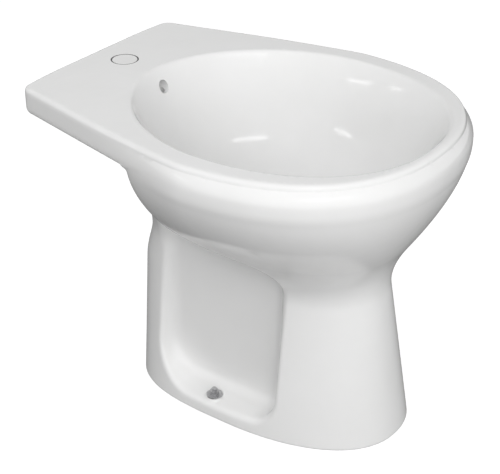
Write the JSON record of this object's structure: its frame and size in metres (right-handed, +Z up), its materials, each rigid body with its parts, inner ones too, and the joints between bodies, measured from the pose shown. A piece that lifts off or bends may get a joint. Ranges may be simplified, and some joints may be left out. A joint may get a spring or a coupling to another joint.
{
  "type": "bidet",
  "caption": "Compact floor-standing bidet in white china with a round bowl, tap deck, pedestal with side recesses, push-down waste and floor fixings.",
  "frame": {"origin": "on the floor, in the middle of the whole object's length and width", "axes": "+Z up, the nose points to -Y, the deck's straight back edge is at +Y, left and right are mirrored in X"},
  "size_m": [0.38, 0.478, 0.375],
  "materials": {
    "china": "glossy white glaze",
    "cap_white": "smooth white plastic",
    "cap_grey": "matt grey seal",
    "black_rubber": "matt black rubber",
    "white_nylon": "natural nylon",
    "chromed_brass": "polished chrome plating",
    "plain_brass": "machined brass",
    "zinc_steel": "bright zinc plating",
    "spring_steel": "stainless spring wire"
  },
  "bodies": {
    "bidet": {"ceramic_body": "china", "cap_disc": "cap_white", "cap_seal_ring": "cap_grey", "cap_washer": "black_rubber", "cap_nut": "white_nylon", "waste_flange_seal": "black_rubber", "waste_body": "chromed_brass", "waste_cone_seal": "black_rubber", "waste_slip_washer": "white_nylon", "waste_backnut": "plain_brass", "plug_guide": "plain_brass", "plug_spring": "spring_steel", "left_stud": "zinc_steel", "left_sleeve": "white_nylon", "left_washer": "zinc_steel", "left_nut": "zinc_steel", "right_stud": "zinc_steel", "right_sleeve": "white_nylon", "right_washer": "zinc_steel", "right_nut": "zinc_steel"},
    "plug": {"plug_cover": "chromed_brass", "plug_seal": "black_rubber", "plug_stem": "plain_brass"}
  },
  "joints": [
    {"name": "plug_slide", "type": "slide", "parent": "bidet", "child": "plug", "axis": [0, 0, 1], "range_m": [-0.008, 0], "stiffness_N_per_m": 300, "springref_m": 0.005, "deforming": ["plug_spring"]}
  ]
}
